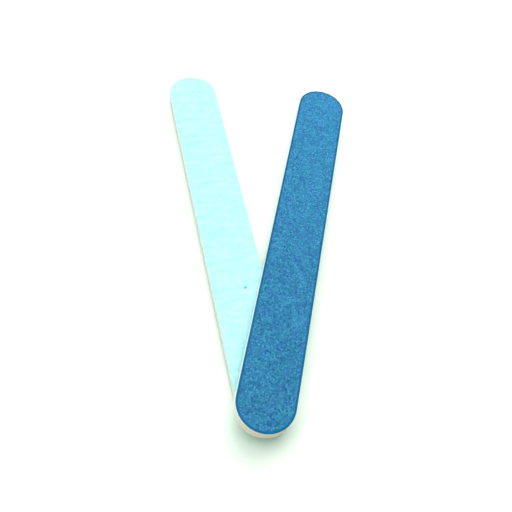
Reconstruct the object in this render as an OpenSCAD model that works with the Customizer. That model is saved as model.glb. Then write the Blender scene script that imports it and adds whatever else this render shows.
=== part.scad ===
// Cushioned sanding stick: a flat, round-ended hand tool for smoothing plastic and wood.
// A stiff strip runs through the middle, a foam layer is taped to each side of it, and an
// abrasive sheet is taped to each foam: coarse blue on one side, fine aqua on the other.
// Two of them lie in a narrow V. The lower stick lies flat with its aqua side up. The upper
// stick has its blue side up, leans on the lower one's edge and touches the table at its far end.
//
// Frame: origin at the middle of the lower stick's underside, +Y along its length, +Z up, in mm.

/* [Stick outline] */
// Length over both round ends
stick_l = 152; // [120:1:200]
// Width, which is also the diameter of the round ends
stick_w = 19; // [12:0.5:30]

/* [Layers] */
// Thickness of the stiff strip in the middle
core_t = 0.8; // [0.4:0.1:2]
// Thickness of each foam layer
foam_t = 1.5; // [0.8:0.1:3]
// Thickness of each film of double-sided tape
tape_t = 0.08; // [0.05:0.01:0.2]
// Thickness of the paper under each abrasive coat
paper_t = 0.22; // [0.1:0.02:0.5]
// Thickness of the coarse blue abrasive coat
coarse_coat_t = 0.16; // [0.08:0.02:0.4]
// Thickness of the fine aqua abrasive coat
fine_coat_t = 0.08; // [0.04:0.02:0.2]

/* [How the two lie] */
// Angle between the two sticks, seen from above
fan_angle = 24; // [12:1:50]
// How far the upper stick's near end sits to the right of the lower one's
near_end_x = -1.8; // [-4:0.2:4]
// How far the upper stick's near end sits ahead of the lower one's
near_end_y = -3.9; // [-8:0.1:8]
// Clearance between the lower stick's top edge and the underside of the upper stick
contact_gap = 0.1; // [0.05:0.05:0.5]

/* [Hidden] */
$fn = 96;
end_r = stick_w / 2;
half_straight = stick_l / 2 - end_r;

// Underside of each layer, counted up from the aqua face of a stick that lies blue side up
aqua_coat_z = 0;
aqua_paper_z = aqua_coat_z + fine_coat_t;
aqua_paper_tape_z = aqua_paper_z + paper_t;
aqua_foam_z = aqua_paper_tape_z + tape_t;
aqua_core_tape_z = aqua_foam_z + foam_t;
core_z = aqua_core_tape_z + tape_t;
blue_core_tape_z = core_z + core_t;
blue_foam_z = blue_core_tape_z + tape_t;
blue_paper_tape_z = blue_foam_z + foam_t;
blue_paper_z = blue_paper_tape_z + tape_t;
blue_coat_z = blue_paper_z + paper_t;
stick_t = blue_coat_z + coarse_coat_t;

// Middle of the upper stick, seen from above while it is still level
upper_x = near_end_x + half_straight * sin(fan_angle);
upper_y = near_end_y - half_straight + half_straight * cos(fan_angle);

// The upper stick turns about the lower one's top right edge until its far end is down
edge_x = end_r;
edge_z = stick_t + contact_gap;
far_rim_x = upper_x + half_straight * sin(fan_angle) + end_r;
lean_angle = asin(edge_z / (far_rim_x - edge_x));

coarse_blue = [0.24, 0.56, 0.75];
fine_aqua = [0.80, 0.98, 0.99];
blue_paper_edge = [0.10, 0.42, 0.60];
aqua_paper_edge = [0.72, 0.90, 0.92];
foam_white = [0.96, 0.98, 0.97];
tape_clear = [0.90, 0.90, 0.84];
core_white = [0.93, 0.93, 0.91];

// The die-cut outline that every layer shares: straight sides and full round ends
module outline() {
    square([stick_w, 2 * half_straight], center = true);
    for (end = [-1, 1])
        translate([0, end * half_straight])
            circle(r = end_r);
}

// One flat layer of the stack
module layer(z, t) {
    translate([0, 0, z])
        linear_extrude(height = t)
            outline();
}

// Lower stick: turned over on the table, so that its aqua side is up
module as_lower() {
    translate([0, 0, stick_t])
        rotate([0, 180, 0])
            children();
}

// Upper stick: swung to the right, then leant over the lower stick's top edge
module as_upper() {
    translate([edge_x, 0, edge_z])
        rotate([0, lean_angle, 0])
            translate([upper_x - edge_x, upper_y, 0])
                rotate([0, 0, -fan_angle])
                    children();
}

// Stiff polystyrene strip that keeps the stick straight
module core_strip() { color(core_white) layer(core_z, core_t); }

// Blue side, from the core outwards
module blue_core_tape() { color(tape_clear) layer(blue_core_tape_z, tape_t); }
module blue_foam() { color(foam_white) layer(blue_foam_z, foam_t); }
module blue_paper_tape() { color(tape_clear) layer(blue_paper_tape_z, tape_t); }
module blue_paper() { color(blue_paper_edge) layer(blue_paper_z, paper_t); }
module blue_coat() { color(coarse_blue) layer(blue_coat_z, coarse_coat_t); }

// Aqua side, from the core outwards
module aqua_core_tape() { color(tape_clear) layer(aqua_core_tape_z, tape_t); }
module aqua_foam() { color(foam_white) layer(aqua_foam_z, foam_t); }
module aqua_paper_tape() { color(tape_clear) layer(aqua_paper_tape_z, tape_t); }
module aqua_paper() { color(aqua_paper_edge) layer(aqua_paper_z, paper_t); }
module aqua_coat() { color(fine_aqua) layer(aqua_coat_z, fine_coat_t); }

as_lower() core_strip();  // lower_core_strip
as_lower() blue_core_tape();  // lower_blue_core_tape
as_lower() blue_foam();  // lower_blue_foam
as_lower() blue_paper_tape();  // lower_blue_paper_tape
as_lower() blue_paper();  // lower_blue_paper
as_lower() blue_coat();  // lower_blue_coat
as_lower() aqua_core_tape();  // lower_aqua_core_tape
as_lower() aqua_foam();  // lower_aqua_foam
as_lower() aqua_paper_tape();  // lower_aqua_paper_tape
as_lower() aqua_paper();  // lower_aqua_paper
as_lower() aqua_coat();  // lower_aqua_coat

as_upper() core_strip();  // upper_core_strip
as_upper() blue_core_tape();  // upper_blue_core_tape
as_upper() blue_foam();  // upper_blue_foam
as_upper() blue_paper_tape();  // upper_blue_paper_tape
as_upper() blue_paper();  // upper_blue_paper
as_upper() blue_coat();  // upper_blue_coat
as_upper() aqua_core_tape();  // upper_aqua_core_tape
as_upper() aqua_foam();  // upper_aqua_foam
as_upper() aqua_paper_tape();  // upper_aqua_paper_tape
as_upper() aqua_paper();  // upper_aqua_paper
as_upper() aqua_coat();  // upper_aqua_coat
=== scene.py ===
import math

import bmesh
import bpy
from mathutils import Matrix, Vector, noise


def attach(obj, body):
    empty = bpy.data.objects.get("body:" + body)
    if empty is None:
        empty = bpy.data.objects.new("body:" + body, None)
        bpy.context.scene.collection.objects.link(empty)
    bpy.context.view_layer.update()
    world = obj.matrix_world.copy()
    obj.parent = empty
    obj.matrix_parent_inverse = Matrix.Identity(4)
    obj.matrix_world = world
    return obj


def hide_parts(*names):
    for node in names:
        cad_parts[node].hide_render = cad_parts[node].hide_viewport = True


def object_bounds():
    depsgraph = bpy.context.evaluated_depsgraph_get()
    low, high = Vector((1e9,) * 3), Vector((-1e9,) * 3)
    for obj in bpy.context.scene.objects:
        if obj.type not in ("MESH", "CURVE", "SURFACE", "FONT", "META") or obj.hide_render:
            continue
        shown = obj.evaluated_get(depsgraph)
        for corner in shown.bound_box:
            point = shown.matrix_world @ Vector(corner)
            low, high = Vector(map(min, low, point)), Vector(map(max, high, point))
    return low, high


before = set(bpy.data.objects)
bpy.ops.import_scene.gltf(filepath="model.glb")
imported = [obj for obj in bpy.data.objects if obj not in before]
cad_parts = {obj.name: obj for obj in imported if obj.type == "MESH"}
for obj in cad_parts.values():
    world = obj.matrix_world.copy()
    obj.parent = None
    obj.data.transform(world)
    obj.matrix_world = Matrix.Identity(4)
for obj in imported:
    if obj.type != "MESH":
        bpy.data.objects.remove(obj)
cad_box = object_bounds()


# ---------------------------------------------------------------------------
# Stiff core: a strip of white polystyrene sheet, die-cut with the rest of the stack.
# Only its cut edge shows, as a smooth band between the two foams, a touch cooler than they are.

# The lower stick lies flat with its aqua side up, and the upper one leans on it, blue side up
SIDES = ("lower", "upper")
# Pieces are drawn in millimetres, and this takes them to metres
MM = 0.001
# Two faces are square to each other when the cosine of the angle between them is under this
SQUARE_ENOUGH = 0.1


def corners_of(node_name):
    return [vertex.co.copy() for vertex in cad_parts[node_name].data.vertices]


def middle_of(points):
    return sum(points, Vector()) / len(points)


def own_axes(side):
    """The matrix that takes a stick from millimetres on its own axes to where it lies, in metres.

    The axes are x across, y along and z from the aqua side to the blue side, from the middle of
    the core. They are read from the faces of the CAD's core strip.
    """
    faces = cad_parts[f"{side}_core_strip"].data.polygons
    flat = max(faces, key=lambda face: face.area)
    walls = [face for face in faces if abs(face.normal.dot(flat.normal)) < SQUARE_ENOUGH]
    across = max(walls, key=lambda face: face.area).normal.normalized()
    up = flat.normal.normalized()
    blue_middle = middle_of(corners_of(f"{side}_blue_coat"))
    aqua_middle = middle_of(corners_of(f"{side}_aqua_coat"))
    if up.dot(blue_middle - aqua_middle) < 0:
        up = -up
    along = up.cross(across)
    if along.y < 0:
        across, along = -across, -along
    core = corners_of(f"{side}_core_strip")
    middle = Vector()
    for axis in (across, along, up):
        spots = [axis.dot(corner) for corner in core]
        middle += axis * (min(spots) + max(spots)) / 2
    axes = Matrix((across, along, up)).transposed().to_4x4()
    return Matrix.Translation(middle) @ axes @ Matrix.Scale(MM, 4)


PLACE = {side: own_axes(side) for side in SIDES}


def own_box(side, layer):
    """Lowest and highest corner of one layer, in millimetres on its stick's own axes."""
    back = PLACE[side].inverted()
    spots = [back @ corner for corner in corners_of(f"{side}_{layer}")]
    low = Vector([min(spot[i] for spot in spots) for i in range(3)])
    high = Vector([max(spot[i] for spot in spots) for i in range(3)])
    return low, high


core_corner = own_box("lower", "core_strip")[1]
HALF_W = core_corner.x
HALF_L = core_corner.y
HALF_STRAIGHT = HALF_L - HALF_W


def linear(hex_colour):
    """A linear RGBA colour from an sRGB hex value."""
    parts = [int(hex_colour[i:i + 2], 16) / 255 for i in (0, 2, 4)]
    return [c / 12.92 if c <= 0.04045 else ((c + 0.055) / 1.055) ** 2.4 for c in parts] + [1.0]


def add_node(tree, kind, inputs=None, **settings):
    """Adds one node. Settings are its properties; inputs are values, or sockets that feed it."""
    made = tree.nodes.new(kind)
    for name, value in settings.items():
        setattr(made, name, value)
    for key, value in (inputs or {}).items():
        if isinstance(value, bpy.types.NodeSocket):
            tree.links.new(value, made.inputs[key])
        else:
            made.inputs[key].default_value = value
    return made


def new_material(name):
    """An empty node material: its tree, and itself."""
    material = bpy.data.materials.new(name)
    material.use_nodes = True
    material.node_tree.nodes.clear()
    return material.node_tree, material


def object_millimetres(tree):
    """The row's coordinates in millimetres, for the CAD's own pieces."""
    place = add_node(tree, "ShaderNodeTexCoord")
    scaled = add_node(tree, "ShaderNodeVectorMath", {
        0: place.outputs["Object"], "Scale": 1 / MM}, operation="SCALE")
    return scaled.outputs[0]


# A Mix node's sockets share their names, so those for colours are picked by number
MIX_SHARE = 0
COLOUR_A = 6
COLOUR_B = 7
COLOUR_OUT = 2

# Polystyrene sheet, cut: white and smooth, with fine drag marks from the die. Its ends are painted
# a little yellow, as painted shade like the foam's ends.
DRAG_GAP = 0.3
DRAG_DEPTH = 0.03
SHADE_BEFORE_BEND = 2.0
tree, polystyrene = new_material("polystyrene_sheet_cut")
spot = object_millimetres(tree)
drag = add_node(tree, "ShaderNodeTexNoise", {"Vector": spot, "Scale": 1 / DRAG_GAP, "Detail": 2.0})
tone = add_node(tree, "ShaderNodeValToRGB", {"Fac": drag.outputs["Fac"]})
tone.color_ramp.elements[0].position = 0.3
tone.color_ramp.elements[0].color = linear("DCDCD2")
tone.color_ramp.elements[1].position = 0.7
tone.color_ramp.elements[1].color = linear("ECEBE2")
along = add_node(tree, "ShaderNodeSeparateXYZ", {0: spot})
from_middle = add_node(tree, "ShaderNodeMath", {0: along.outputs["Y"]}, operation="ABSOLUTE")
# Painted shade: the core's ends are painted a little yellow to match the shaded foam at the ends
core_end_shade = add_node(tree, "ShaderNodeMapRange", {
    "Value": from_middle.outputs[0], "From Min": HALF_STRAIGHT - SHADE_BEFORE_BEND,
    "From Max": HALF_L, "To Min": 0.0, "To Max": 1.0}, interpolation_type="SMOOTHSTEP")
end_shaded_tone = add_node(tree, "ShaderNodeMix", {
    MIX_SHARE: core_end_shade.outputs["Result"], COLOUR_A: tone.outputs["Color"],
    COLOUR_B: linear("E0D9C2")}, data_type="RGBA")
marks = add_node(tree, "ShaderNodeBump", {
    "Height": drag.outputs["Fac"], "Strength": 0.3, "Distance": DRAG_DEPTH * MM})
surface = add_node(tree, "ShaderNodeBsdfPrincipled", {
    "Base Color": end_shaded_tone.outputs[COLOUR_OUT], "Roughness": 0.45, "IOR": 1.59,
    "Normal": marks.outputs["Normal"]})
add_node(tree, "ShaderNodeOutputMaterial", {"Surface": surface.outputs["BSDF"]})


def finish_cad(side, layer, material):
    """Gives one of the CAD's own pieces its material."""
    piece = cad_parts[f"{side}_{layer}"]
    piece.data.materials.clear()
    piece.data.materials.append(material)


for side in SIDES:
    finish_cad(side, "core_strip", polystyrene)


# ---------------------------------------------------------------------------
# Adhesive: four films of clear double-sided acrylic tape in each stick, on both sides of each foam.
# At the cut edge they are hairlines, slightly yellow and glossier than what they join.

# Acrylic film: smooth and a little glossy, with lint caught in its edge here and there
LINT_SIZE = 0.8
LINT_DEPTH = 0.02
tree, acrylic_film = new_material("acrylic_adhesive_film")
spot = object_millimetres(tree)
lint = add_node(tree, "ShaderNodeTexNoise", {"Vector": spot, "Scale": 1 / LINT_SIZE, "Detail": 3.0})
tone = add_node(tree, "ShaderNodeMix", {
    MIX_SHARE: lint.outputs["Fac"], COLOUR_A: linear("D8D5C4"), COLOUR_B: linear("ECEADD")},
    data_type="RGBA")
marks = add_node(tree, "ShaderNodeBump", {
    "Height": lint.outputs["Fac"], "Strength": 0.2, "Distance": LINT_DEPTH * MM})
surface = add_node(tree, "ShaderNodeBsdfPrincipled", {
    "Base Color": tone.outputs[COLOUR_OUT], "Roughness": 0.3, "IOR": 1.47,
    "Normal": marks.outputs["Normal"]})
add_node(tree, "ShaderNodeOutputMaterial", {"Surface": surface.outputs["BSDF"]})

for side in SIDES:
    for layer in ("blue_core_tape", "blue_paper_tape", "aqua_core_tape", "aqua_paper_tape"):
        finish_cad(side, layer, acrylic_film)


# ---------------------------------------------------------------------------
# Foam: two layers of white closed-cell foam, which make the faces give a little in use.
# The die squeezes them as it cuts, and they spring back with a slightly hollow, pitted edge.

# What is drawn stays a hair inside the CAD, whose arcs are facets
DRAWN_HALF_W = HALF_W - 0.01
FOAM_STEP = 0.4
FOAM_ROWS = 9
FOAM_HOLLOW = 0.10
PIT_DEPTH = 0.035
PIT_WIDTH = 0.5


def round_ended(inset, step):
    """Points round the stick's outline, anticlockwise from the right side's near end."""
    radius = DRAWN_HALF_W - inset
    straight = round(2 * HALF_STRAIGHT / step)
    bend = round(math.pi * HALF_W / step)
    points = []
    for way in (1, -1):
        for i in range(straight):
            points.append((way * radius, way * HALF_STRAIGHT * (2 * i / straight - 1)))
        for i in range(bend):
            turn = math.pi * i / bend
            points.append((way * radius * math.cos(turn),
                           way * (HALF_STRAIGHT + radius * math.sin(turn))))
    return points


def closed_stack(rings):
    """A closed mesh from rings of points, lowest first. Its drawn millimetres stay as "own"."""
    shape = bmesh.new()
    rows = [[shape.verts.new(point) for point in ring] for ring in rings]
    for below, above in zip(rows, rows[1:]):
        for i in range(len(below)):
            after = (i + 1) % len(below)
            shape.faces.new((below[i], below[after], above[after], above[i]))
    shape.faces.new(reversed(rows[0]))
    shape.faces.new(rows[-1])
    mesh = bpy.data.meshes.new("stack")
    shape.to_mesh(mesh)
    shape.free()
    own = mesh.attributes.new("own", "FLOAT_VECTOR", "POINT")
    own.data.foreach_set("vector", [c for vertex in mesh.vertices for c in vertex.co])
    return mesh


def pitted(x, y, z):
    """A point of the foam's edge, moved in by the pits of the cut cells there."""
    deep = PIT_DEPTH * (1 + noise.noise(Vector((x, y, z)) / PIT_WIDTH))
    spine = Vector((0, max(-HALF_STRAIGHT, min(HALF_STRAIGHT, y))))
    out = (Vector((x, y)) - spine).normalized()
    return Vector((x - out.x * deep, y - out.y * deep, z))


def foam_edge(side, layer):
    """One foam, hollow halfway up its edge."""
    low, high = own_box(side, layer)
    rings = []
    for row in range(FOAM_ROWS):
        share = row / (FOAM_ROWS - 1)
        hollow = FOAM_HOLLOW * (1 - (2 * share - 1) ** 2)
        z = low.z + share * (high.z - low.z)
        rings.append([pitted(x, y, z) for x, y in round_ended(hollow, FOAM_STEP)])
    return closed_stack(rings)


def finish_drawn(mesh, name, side, layer, material):
    """Puts a piece drawn on its stick's own axes in its place, instead of the CAD's plain one."""
    mesh.name = name
    mesh.transform(PLACE[side])
    if not mesh.materials:
        mesh.materials.append(material)
    piece = bpy.data.objects.new(name, mesh)
    bpy.context.scene.collection.objects.link(piece)
    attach(piece, f"{side}_stick")
    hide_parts(f"{side}_{layer}")
    return piece


# Closed-cell foam, cut: matt and off-white, pitted by its cut cells, and painted a little darker in
# each pit as painted shade. The round ends are painted cream, most of all towards the aqua side, as
# painted shade on the end walls.
CUT_CELL = 0.25
CELL_DEPTH = 0.06
CLOUD_SIZE = 5.0
CREAM_PAST_BEND = 1.0
MOST_CREAM_Z = -1.5
LEAST_CREAM_Z = 1.8
tree, cut_foam = new_material("closed_cell_foam_cut")
spot = add_node(tree, "ShaderNodeAttribute", attribute_name="own").outputs["Vector"]
cells = add_node(tree, "ShaderNodeTexVoronoi", {"Vector": spot, "Scale": 1 / CUT_CELL})
cloud = add_node(tree, "ShaderNodeTexNoise", {"Vector": spot, "Scale": 1 / CLOUD_SIZE, "Detail": 3.0})
tone = add_node(tree, "ShaderNodeMix", {
    MIX_SHARE: cloud.outputs["Fac"], COLOUR_A: linear("F4F2EA"), COLOUR_B: linear("FAF9F4")},
    data_type="RGBA")
along = add_node(tree, "ShaderNodeSeparateXYZ", {0: spot})
from_middle = add_node(tree, "ShaderNodeMath", {0: along.outputs["Y"]}, operation="ABSOLUTE")
# Painted shade: the round ends are painted cream, most of all towards the aqua side, for the shade on
# the end walls
end_shade_mask = add_node(tree, "ShaderNodeMapRange", {
    "Value": from_middle.outputs[0], "From Min": HALF_STRAIGHT + CREAM_PAST_BEND,
    "From Max": HALF_L, "To Min": 0.0, "To Max": 1.0}, interpolation_type="SMOOTHSTEP")
aqua_side = add_node(tree, "ShaderNodeMapRange", {
    "Value": along.outputs["Z"], "From Min": MOST_CREAM_Z, "From Max": LEAST_CREAM_Z,
    "To Min": 1.0, "To Max": 0.0})
painted_end_shade = add_node(tree, "ShaderNodeMath", {
    0: end_shade_mask.outputs["Result"], 1: aqua_side.outputs["Result"]}, operation="MULTIPLY")
end_shaded_tone = add_node(tree, "ShaderNodeMix", {
    MIX_SHARE: painted_end_shade.outputs[0], COLOUR_A: tone.outputs[COLOUR_OUT],
    COLOUR_B: linear("F6E6C8")}, data_type="RGBA")
# Painted shade: each cut cell's pit is painted up to a tenth darker at its middle, for the shade in the
# hollow
pit = add_node(tree, "ShaderNodeMapRange", {
    "Value": cells.outputs["Distance"], "From Min": 0.0, "From Max": 0.6, "To Min": 0.9, "To Max": 1.0})
shade = add_node(tree, "ShaderNodeVectorMath", {
    0: end_shaded_tone.outputs[COLOUR_OUT], "Scale": pit.outputs["Result"]}, operation="SCALE")
relief = add_node(tree, "ShaderNodeBump", {
    "Height": cells.outputs["Distance"], "Strength": 0.6, "Distance": CELL_DEPTH * MM})
surface = add_node(tree, "ShaderNodeBsdfPrincipled", {
    "Base Color": shade.outputs[0], "Roughness": 0.9, "IOR": 1.45,
    "Normal": relief.outputs["Normal"]})
add_node(tree, "ShaderNodeOutputMaterial", {"Surface": surface.outputs["BSDF"]})

for side in SIDES:
    for layer in ("blue_foam", "aqua_foam"):
        piece = finish_drawn(foam_edge(side, layer), f"{side}_{layer}_cut", side, layer, cut_foam)


# ---------------------------------------------------------------------------
# Papers: latex-treated backing paper, dyed through, one under each abrasive coat.
# Only the cut edge shows. Its fibres are a little rough and duller than the coat above.

FIBRE_GAP = 0.2
FIBRE_LIFT = 0.03


def paper_material(name, dull_hex, clear_hex):
    """Dyed paper, cut: matt, its fibres lightening and darkening it and lifting a little."""
    tree, material = new_material(name)
    spot = object_millimetres(tree)
    fibres = add_node(tree, "ShaderNodeTexNoise", {
        "Vector": spot, "Scale": 1 / FIBRE_GAP, "Detail": 4.0})
    tone = add_node(tree, "ShaderNodeMix", {
        MIX_SHARE: fibres.outputs["Fac"], COLOUR_A: linear(dull_hex),
        COLOUR_B: linear(clear_hex)}, data_type="RGBA")
    relief = add_node(tree, "ShaderNodeBump", {
        "Height": fibres.outputs["Fac"], "Strength": 0.5, "Distance": FIBRE_LIFT * MM})
    surface = add_node(tree, "ShaderNodeBsdfPrincipled", {
        "Base Color": tone.outputs[COLOUR_OUT], "Roughness": 0.85, "IOR": 1.5,
        "Normal": relief.outputs["Normal"]})
    add_node(tree, "ShaderNodeOutputMaterial", {"Surface": surface.outputs["BSDF"]})
    return material


blue_paper = paper_material("blue_latex_paper", "066488", "1480A6")
aqua_paper = paper_material("aqua_latex_paper", "A8CFD0", "C4E4E4")

for side in SIDES:
    finish_cad(side, "blue_paper", blue_paper)
    finish_cad(side, "aqua_paper", aqua_paper)


# ---------------------------------------------------------------------------
# Abrasive coats: mineral grains set in a resin bed on each paper, coarse under blue resin on one
# face and fine under pale aqua resin on the other. The die presses the bed down along its edge.

# Real grains are about 0.12 mm wide on the blue face and 0.04 mm on the aqua one, too fine to
# show, so they are drawn coarser and as far apart as keeps the meshes light
COARSE_GRAIN = 0.9
FINE_GRAIN = 0.6
GRAIN_SPACING = 0.6
DENSEST_PER_MM2 = 40.0
FLATTEST_GRAIN = (0.6, 0.5, 0.5)
FULLEST_GRAIN = (1.25, 1.0, 1.2)
GRAIN_TILT = 0.3
FULL_TURN = 6.283
BED_SHARE = 0.55
BED_STEP = 1.0
BED_TINT = 0.35
# How high the bed stands at each distance in from the cut, as a share of its depth
BED_EDGE = ((0, 0.0), (0, 0.45), (0.04, 0.75), (0.12, 0.93), (0.25, 1.0))
FACES_UP = 0.99
BLUE_SEEDS = {"lower": 11, "upper": 12}
AQUA_SEEDS = {"lower": 21, "upper": 22}
# The dark rim along the cut, partly the resin pressed down by the die and partly painted shade of its
# rolled edge, and the share of it that is left where its colour is full
DARK_RIM = 0.9
RIM_FULL_SHARE = 0.6


def resin_bed(side, layer):
    """The plate that the grains sit in, with its top edge rolled down. Its outer face is up."""
    low, high = own_box(side, layer)
    deep = (high.z - low.z) * BED_SHARE
    return closed_stack([[Vector((x, y, share * deep)) for x, y in round_ended(inset, BED_STEP)]
                         for inset, share in BED_EDGE])


def grain_tree():
    """Geometry nodes: grains strewn over the bed's top, ground flat where they would stand too high."""
    tree = bpy.data.node_groups.new("strewn_grains", "GeometryNodeTree")
    sockets = {}
    tree.interface.new_socket("Geometry", in_out="INPUT", socket_type="NodeSocketGeometry")
    for name, kind in (("Grain width", "Float"), ("Grain height", "Float"), ("Grain spacing", "Float"),
                       ("Coat top", "Float"), ("Half width", "Float"), ("Half straight", "Float"),
                       ("Seed", "Int"), ("Material", "Material")):
        made = tree.interface.new_socket(name, in_out="INPUT", socket_type=f"NodeSocket{kind}")
        sockets[name] = made.identifier
    tree.interface.new_socket("Geometry", in_out="OUTPUT", socket_type="NodeSocketGeometry")
    given = add_node(tree, "NodeGroupInput").outputs

    # The top is parted from the rest first, since points on the bed's foot would crowd out its own
    normal = add_node(tree, "GeometryNodeInputNormal")
    facing = add_node(tree, "ShaderNodeSeparateXYZ", {0: normal.outputs[0]})
    is_top = add_node(tree, "FunctionNodeCompare", {
        0: facing.outputs["Z"], 1: FACES_UP}, data_type="FLOAT", operation="GREATER_THAN")
    top = add_node(tree, "GeometryNodeSeparateGeometry", {
        "Geometry": given["Geometry"], "Selection": is_top.outputs[0]}, domain="FACE")
    strewn = add_node(tree, "GeometryNodeDistributePointsOnFaces", {
        "Mesh": top.outputs["Selection"], "Distance Min": given["Grain spacing"],
        "Density Max": DENSEST_PER_MM2, "Seed": given["Seed"]}, distribute_method="POISSON")

    # Each grain has its own turn, size and tint
    grain = add_node(tree, "GeometryNodeMeshIcoSphere", {"Radius": 0.5, "Subdivisions": 1})
    turn = add_node(tree, "FunctionNodeRandomValue", {
        0: (-GRAIN_TILT, -GRAIN_TILT, 0.0), 1: (GRAIN_TILT, GRAIN_TILT, FULL_TURN),
        "Seed": given["Seed"]}, data_type="FLOAT_VECTOR")
    size = add_node(tree, "ShaderNodeCombineXYZ", {
        0: given["Grain width"], 1: given["Grain width"], 2: given["Grain height"]})
    vary = add_node(tree, "FunctionNodeRandomValue", {
        0: FLATTEST_GRAIN, 1: FULLEST_GRAIN, "Seed": given["Seed"]}, data_type="FLOAT_VECTOR")
    sized = add_node(tree, "ShaderNodeVectorMath", {
        0: size.outputs[0], 1: vary.outputs[0]}, operation="MULTIPLY")
    placed = add_node(tree, "GeometryNodeInstanceOnPoints", {
        "Points": strewn.outputs["Points"], "Instance": grain.outputs["Mesh"],
        "Rotation": turn.outputs[0], "Scale": sized.outputs[0]})
    tint = add_node(tree, "FunctionNodeRandomValue", {
        2: 0.0, 3: 1.0, "Seed": given["Seed"]}, data_type="FLOAT")
    tinted = add_node(tree, "GeometryNodeStoreNamedAttribute", {
        "Geometry": placed.outputs["Instances"], "Name": "grain_tint", "Value": tint.outputs[1]},
        data_type="FLOAT", domain="INSTANCE")
    grains = add_node(tree, "GeometryNodeRealizeInstances", {"Geometry": tinted.outputs["Geometry"]})

    # No grain stands above the coat's top or below its foot
    place = add_node(tree, "GeometryNodeInputPosition")
    spot = add_node(tree, "ShaderNodeSeparateXYZ", {0: place.outputs[0]})
    ground = add_node(tree, "ShaderNodeMath", {
        0: spot.outputs["Z"], 1: given["Coat top"]}, operation="MINIMUM")
    bedded = add_node(tree, "ShaderNodeMath", {0: ground.outputs[0], 1: 0.0}, operation="MAXIMUM")
    # The die trims what would hang over the edge: no point is further than half a width from the spine
    back = add_node(tree, "ShaderNodeMath", {0: given["Half straight"], 1: -1.0}, operation="MULTIPLY")
    spine_y = add_node(tree, "ShaderNodeClamp", {
        "Value": spot.outputs["Y"], "Min": back.outputs[0], "Max": given["Half straight"]})
    spine = add_node(tree, "ShaderNodeCombineXYZ", {1: spine_y.outputs[0], 2: bedded.outputs[0]})
    level = add_node(tree, "ShaderNodeCombineXYZ", {
        0: spot.outputs["X"], 1: spot.outputs["Y"], 2: bedded.outputs[0]})
    out = add_node(tree, "ShaderNodeVectorMath", {
        0: level.outputs[0], 1: spine.outputs[0]}, operation="SUBTRACT")
    reach = add_node(tree, "ShaderNodeVectorMath", {0: out.outputs[0]}, operation="LENGTH")
    cut = add_node(tree, "ShaderNodeMath", {
        0: reach.outputs["Value"], 1: given["Half width"]}, operation="MINIMUM")
    way = add_node(tree, "ShaderNodeVectorMath", {0: out.outputs[0]}, operation="NORMALIZE")
    kept = add_node(tree, "ShaderNodeVectorMath", {
        0: way.outputs[0], "Scale": cut.outputs[0]}, operation="SCALE")
    held = add_node(tree, "ShaderNodeVectorMath", {
        0: spine.outputs[0], 1: kept.outputs[0]}, operation="ADD")
    trimmed = add_node(tree, "GeometryNodeSetPosition", {
        "Geometry": grains.outputs["Geometry"], "Position": held.outputs[0]})
    marked = add_node(tree, "GeometryNodeStoreNamedAttribute", {
        "Geometry": trimmed.outputs["Geometry"], "Name": "own", "Value": place.outputs[0]},
        data_type="FLOAT_VECTOR", domain="POINT")

    bed = add_node(tree, "GeometryNodeStoreNamedAttribute", {
        "Geometry": given["Geometry"], "Name": "grain_tint", "Value": BED_TINT},
        data_type="FLOAT", domain="POINT")
    joined = add_node(tree, "GeometryNodeJoinGeometry", {"Geometry": bed.outputs["Geometry"]})
    tree.links.new(marked.outputs["Geometry"], joined.inputs["Geometry"])
    whole = add_node(tree, "GeometryNodeRealizeInstances", {"Geometry": joined.outputs["Geometry"]})
    clad = add_node(tree, "GeometryNodeSetMaterial", {
        "Geometry": whole.outputs["Geometry"], "Material": given["Material"]})
    add_node(tree, "NodeGroupOutput", {"Geometry": clad.outputs["Geometry"]})
    return tree, sockets


GRAIN_TREE, GRAIN_SOCKETS = grain_tree()


def abrasive_coat(side, layer, material, grain_width, seed):
    """One coat: its bed, strewn with grains by the tree and made a plain mesh."""
    low, high = own_box(side, layer)
    thick = high.z - low.z
    bed = bpy.data.objects.new("bed", resin_bed(side, layer))
    bpy.context.scene.collection.objects.link(bed)
    modifier = bed.modifiers.new("grains", "NODES")
    modifier.node_group = GRAIN_TREE
    values = {"Grain width": grain_width, "Grain height": 2 * thick * (1 - BED_SHARE),
              "Grain spacing": GRAIN_SPACING, "Coat top": thick, "Half width": DRAWN_HALF_W,
              "Half straight": HALF_STRAIGHT, "Seed": seed, "Material": material}
    for name, value in values.items():
        modifier[GRAIN_SOCKETS[name]] = value
    bpy.context.view_layer.update()
    mesh = bpy.data.meshes.new_from_object(bed.evaluated_get(bpy.context.evaluated_depsgraph_get()))
    bpy.data.objects.remove(bed)
    # The bed was drawn with its grains up: on the aqua side they face the other way
    if layer == "blue_coat":
        mesh.transform(Matrix.Translation((0, 0, low.z)))
    else:
        mesh.transform(Matrix.Translation((0, 0, high.z)) @ Matrix.Rotation(math.pi, 4, "Y"))
    return mesh


def coat_rim(tree, spot):
    """1 along the cut edge of a face, falling to 0 where the dark rim ends."""
    across = add_node(tree, "ShaderNodeSeparateXYZ", {0: spot})
    from_middle = add_node(tree, "ShaderNodeMath", {0: across.outputs["Y"]}, operation="ABSOLUTE")
    past_bend = add_node(tree, "ShaderNodeMath", {
        0: from_middle.outputs[0], 1: HALF_STRAIGHT}, operation="SUBTRACT")
    in_bend = add_node(tree, "ShaderNodeMath", {0: past_bend.outputs[0], 1: 0.0}, operation="MAXIMUM")
    flat = add_node(tree, "ShaderNodeCombineXYZ", {0: across.outputs["X"], 1: in_bend.outputs[0]})
    reach = add_node(tree, "ShaderNodeVectorMath", {0: flat.outputs[0]}, operation="LENGTH")
    rim = add_node(tree, "ShaderNodeMapRange", {
        "Value": reach.outputs["Value"], "From Min": HALF_W - DARK_RIM,
        "From Max": HALF_W - RIM_FULL_SHARE * DARK_RIM, "To Min": 0.0, "To Max": 1.0},
        interpolation_type="SMOOTHSTEP")
    return rim.outputs["Result"]
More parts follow.
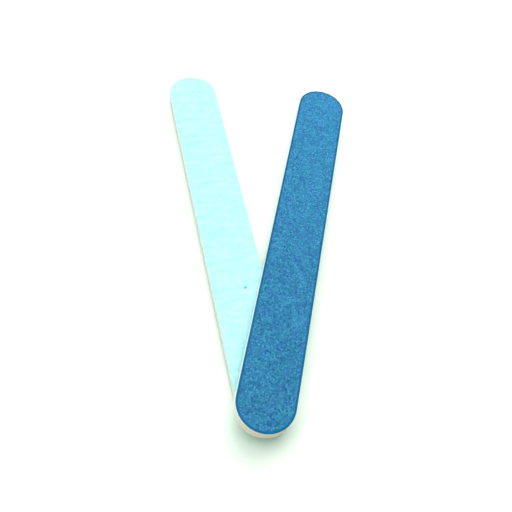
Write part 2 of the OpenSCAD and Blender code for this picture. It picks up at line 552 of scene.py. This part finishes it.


# Coarse grains in blue resin: each grain catches the light its own way, so the face is mottled.
# It is painted darker towards the end where the sticks meet and lighter towards the far end, as
# painted light, and darker along the cut, where the resin is pressed down, partly as painted shade.
# The broken surface reflects little. The pattern is placed in the
# millimetres that the bed was drawn in.
BLOTCH_SIZE = 0.7
BLOTCH_SHARE = 0.35
DRIFT_SIZE = 9.0
PATCH_SIZE = 3.5
SCRATCH_GAP = 0.12
SCRATCH_DEPTH = 0.03
tree, coarse_blue = new_material("coarse_grain_blue_resin")
spot = add_node(tree, "ShaderNodeAttribute", attribute_name="own").outputs["Vector"]
grain = add_node(tree, "ShaderNodeAttribute", attribute_name="grain_tint")
blotch = add_node(tree, "ShaderNodeTexNoise", {
    "Vector": spot, "Scale": 1 / BLOTCH_SIZE, "Detail": 1.0})
drift = add_node(tree, "ShaderNodeTexNoise", {"Vector": spot, "Scale": 1 / DRIFT_SIZE, "Detail": 2.0})
# Where a Mix node mixes numbers, its two inputs are sockets 2 and 3
mixed = add_node(tree, "ShaderNodeMix", {
    MIX_SHARE: BLOTCH_SHARE, 2: grain.outputs["Fac"], 3: blotch.outputs["Fac"]})
mottle = add_node(tree, "ShaderNodeMapRange", {
    "Value": mixed.outputs[0], "From Min": 0.1, "From Max": 0.9, "To Min": 0.0, "To Max": 1.0})
tone = add_node(tree, "ShaderNodeValToRGB", {"Fac": mottle.outputs["Result"]})
tone.color_ramp.elements[0].color = linear("08547D")
tone.color_ramp.elements[1].color = linear("4599C5")
slow = add_node(tree, "ShaderNodeMapRange", {
    "Value": drift.outputs["Fac"], "From Min": 0.3, "From Max": 0.7, "To Min": 0.95, "To Max": 1.05})
along = add_node(tree, "ShaderNodeSeparateXYZ", {0: spot})
# Painted light: the blue face is painted darker towards the end where the sticks meet and lighter
# towards the far end, as light falling off along the stick
painted_falloff = add_node(tree, "ShaderNodeMapRange", {
    "Value": along.outputs["Y"], "From Min": -HALF_L, "From Max": HALF_L,
    "To Min": 0.86, "To Max": 1.12})
brightness = add_node(tree, "ShaderNodeMath", {
    0: slow.outputs["Result"], 1: painted_falloff.outputs["Result"]}, operation="MULTIPLY")
drift_and_painted_falloff = add_node(tree, "ShaderNodeVectorMath", {
    0: tone.outputs["Color"], "Scale": brightness.outputs[0]}, operation="SCALE")
patch = add_node(tree, "ShaderNodeTexNoise", {"Vector": spot, "Scale": 1 / PATCH_SIZE, "Detail": 1.0})
hue = add_node(tree, "ShaderNodeMapRange", {
    "Value": patch.outputs["Fac"], "From Min": 0.3, "From Max": 0.7,
    "To Min": 0.488, "To Max": 0.512})
hued = add_node(tree, "ShaderNodeHueSaturation", {
    "Hue": hue.outputs["Result"], "Color": drift_and_painted_falloff.outputs[0]})
# The dark teal rim along the cut is partly the pressed resin's own colour and partly painted shade of
# its rolled edge
edged = add_node(tree, "ShaderNodeMix", {
    MIX_SHARE: coat_rim(tree, spot), COLOUR_A: hued.outputs[0],
    COLOUR_B: linear("005F88")}, data_type="RGBA")
gloss = add_node(tree, "ShaderNodeMapRange", {
    "Value": grain.outputs["Fac"], "From Min": 0.0, "From Max": 1.0, "To Min": 0.85, "To Max": 0.6})
scratch = add_node(tree, "ShaderNodeTexNoise", {
    "Vector": spot, "Scale": 1 / SCRATCH_GAP, "Detail": 2.0})
relief = add_node(tree, "ShaderNodeBump", {
    "Height": scratch.outputs["Fac"], "Strength": 0.5, "Distance": SCRATCH_DEPTH * MM})
surface = add_node(tree, "ShaderNodeBsdfPrincipled", {
    "Base Color": edged.outputs[COLOUR_OUT], "Roughness": gloss.outputs["Result"], "IOR": 1.54,
    "Specular IOR Level": 0.12, "Normal": relief.outputs["Normal"]})
add_node(tree, "ShaderNodeOutputMaterial", {"Surface": surface.outputs["BSDF"]})

# Fine grains in pale aqua resin: nearly even and matt, with faint streaks across the sheet from
# its coating, and one stray coarse grain that has stuck to it
STREAK_LENGTH = 8.0
STREAK_WIDTH = 2.2
FLECK_SIZE = 1.3
FLECK_DEPTH = 0.03
STRAY_GRAIN = (2.0, -28.0, 0.0)
STRAY_CORE = 0.2
STRAY_REACH = 0.7
tree, fine_aqua = new_material("fine_grain_aqua_resin")
spot = add_node(tree, "ShaderNodeAttribute", attribute_name="own").outputs["Vector"]
stretch = add_node(tree, "ShaderNodeMapping", {
    "Vector": spot, "Scale": (1 / STREAK_LENGTH, 1 / STREAK_WIDTH, 1.0)})
streak = add_node(tree, "ShaderNodeTexNoise", {
    "Vector": stretch.outputs[0], "Scale": 1.0, "Detail": 3.0})
fleck = add_node(tree, "ShaderNodeTexNoise", {"Vector": spot, "Scale": 1 / FLECK_SIZE, "Detail": 2.0})
summed = add_node(tree, "ShaderNodeMath", {
    0: streak.outputs["Fac"], 1: fleck.outputs["Fac"]}, operation="ADD")
mottle = add_node(tree, "ShaderNodeMapRange", {
    "Value": summed.outputs[0], "From Min": 0.7, "From Max": 1.3, "To Min": 0.0, "To Max": 1.0})
tone = add_node(tree, "ShaderNodeMix", {
    MIX_SHARE: mottle.outputs["Result"], COLOUR_A: linear("99DCDC"), COLOUR_B: linear("B7E8EA")},
    data_type="RGBA")
away = add_node(tree, "ShaderNodeVectorMath", {0: spot, 1: STRAY_GRAIN}, operation="DISTANCE")
stray = add_node(tree, "ShaderNodeMapRange", {
    "Value": away.outputs["Value"], "From Min": STRAY_CORE, "From Max": STRAY_REACH,
    "To Min": 1.0, "To Max": 0.0})
specked = add_node(tree, "ShaderNodeMix", {
    MIX_SHARE: stray.outputs["Result"], COLOUR_A: tone.outputs[COLOUR_OUT],
    COLOUR_B: linear("4E9EA8")}, data_type="RGBA")
relief = add_node(tree, "ShaderNodeBump", {
    "Height": fleck.outputs["Fac"], "Strength": 0.3, "Distance": FLECK_DEPTH * MM})
surface = add_node(tree, "ShaderNodeBsdfPrincipled", {
    "Base Color": specked.outputs[COLOUR_OUT], "Roughness": 0.8, "IOR": 1.5,
    "Specular IOR Level": 0.3, "Normal": relief.outputs["Normal"]})
add_node(tree, "ShaderNodeOutputMaterial", {"Surface": surface.outputs["BSDF"]})

for side in SIDES:
    mesh = abrasive_coat(side, "blue_coat", coarse_blue, COARSE_GRAIN, BLUE_SEEDS[side])
    finish_drawn(mesh, f"{side}_blue_grains", side, "blue_coat", coarse_blue)
    mesh = abrasive_coat(side, "aqua_coat", fine_aqua, FINE_GRAIN, AQUA_SEEDS[side])
    finish_drawn(mesh, f"{side}_aqua_grains", side, "aqua_coat", fine_aqua)


# ---------------------------------------------------------------------------
# Table, light and camera: a plain pale table, a broad softbox almost overhead, two smaller ones
# behind the sticks and to their left, a dim even surround, and a camera that looks down the V.

# The table reaches this many metres each way, and lies a hair lower than the sticks' lowest face
TABLE_REACH = 6.0
TABLE_DROP = 0.02
CLOUDING_SIZE = 60.0

table_mesh = bpy.data.meshes.new("table")
table_z = cad_box[0][2] - TABLE_DROP * MM
table_mesh.from_pydata([(-TABLE_REACH, -TABLE_REACH, table_z), (TABLE_REACH, -TABLE_REACH, table_z),
                        (TABLE_REACH, TABLE_REACH, table_z), (-TABLE_REACH, TABLE_REACH, table_z)],
                       [], [(0, 1, 2, 3)])
table = bpy.data.objects.new("table", table_mesh)
bpy.context.scene.collection.objects.link(table)
# Pale laminate: matt, very faintly green and clouded
tree, laminate = new_material("pale_laminate")
spot = object_millimetres(tree)
cloud = add_node(tree, "ShaderNodeTexNoise", {"Vector": spot, "Scale": 1 / CLOUDING_SIZE})
tone = add_node(tree, "ShaderNodeMix", {
    MIX_SHARE: cloud.outputs["Fac"], COLOUR_A: linear("E2F1E3"), COLOUR_B: linear("E7F4E7")},
    data_type="RGBA")
surface = add_node(tree, "ShaderNodeBsdfPrincipled", {
    "Base Color": tone.outputs[COLOUR_OUT], "Roughness": 0.6})
add_node(tree, "ShaderNodeOutputMaterial", {"Surface": surface.outputs["BSDF"]})
table_mesh.materials.append(laminate)

# The camera looks at this point of the table, with a slight roll
AIM = Vector((9.6, -13.4, 0)) * MM
VIEW_AZIMUTH = math.radians(22.4)
VIEW_ELEVATION = math.radians(58.1)
VIEW_DISTANCE = 219.7 * MM
VIEW_ROLL = math.radians(11.1)
LENS = 42.2
SENSOR_WIDTH = 36.0
NEAREST_SEEN = 10 * MM

into = Vector((math.sin(VIEW_AZIMUTH) * math.cos(VIEW_ELEVATION),
               math.cos(VIEW_AZIMUTH) * math.cos(VIEW_ELEVATION), -math.sin(VIEW_ELEVATION)))
camera = bpy.data.objects.new("camera", bpy.data.cameras.new("camera"))
camera.data.lens = LENS
camera.data.sensor_width = SENSOR_WIDTH
camera.data.clip_start = NEAREST_SEEN
level_view = into.to_track_quat("-Z", "Y").to_matrix().to_4x4()
rolled_view = level_view @ Matrix.Rotation(VIEW_ROLL, 4, "Z")
camera.matrix_world = Matrix.Translation(AIM - into * VIEW_DISTANCE) @ rolled_view
bpy.context.scene.collection.objects.link(camera)
bpy.context.scene.camera = camera

# Metres from the sticks, so that the light is even all over the table round them
SOFTBOX_DISTANCE = 2.7
SURROUND_STRENGTH = 0.2


def soft_light(name, azimuth, elevation, size, power):
    """A square white area light that looks at the sticks. Azimuth is from +Y towards +X."""
    turn = math.radians(azimuth)
    rise = math.radians(elevation)
    away = Vector((math.sin(turn) * math.cos(rise), math.cos(turn) * math.cos(rise), math.sin(rise)))
    lamp = bpy.data.objects.new(name, bpy.data.lights.new(name, "AREA"))
    lamp.data.size = size
    lamp.data.energy = power
    lamp.location = AIM + away * SOFTBOX_DISTANCE
    lamp.rotation_euler = (-away).to_track_quat("-Z", "Y").to_euler()
    bpy.context.scene.collection.objects.link(lamp)


soft_light("softbox_overhead", azimuth=25, elevation=72, size=3.3, power=88)
soft_light("softbox_behind", azimuth=25, elevation=45, size=2.1, power=29)
soft_light("softbox_left", azimuth=-70, elevation=50, size=2.1, power=28)

world = bpy.data.worlds.new("pale_surround")
world.use_nodes = True
backdrop = world.node_tree.nodes["Background"]
backdrop.inputs["Color"].default_value = linear("FFFFFF")
backdrop.inputs["Strength"].default_value = SURROUND_STRENGTH
bpy.context.scene.world = world
bpy.context.scene.view_settings.view_transform = "Standard"
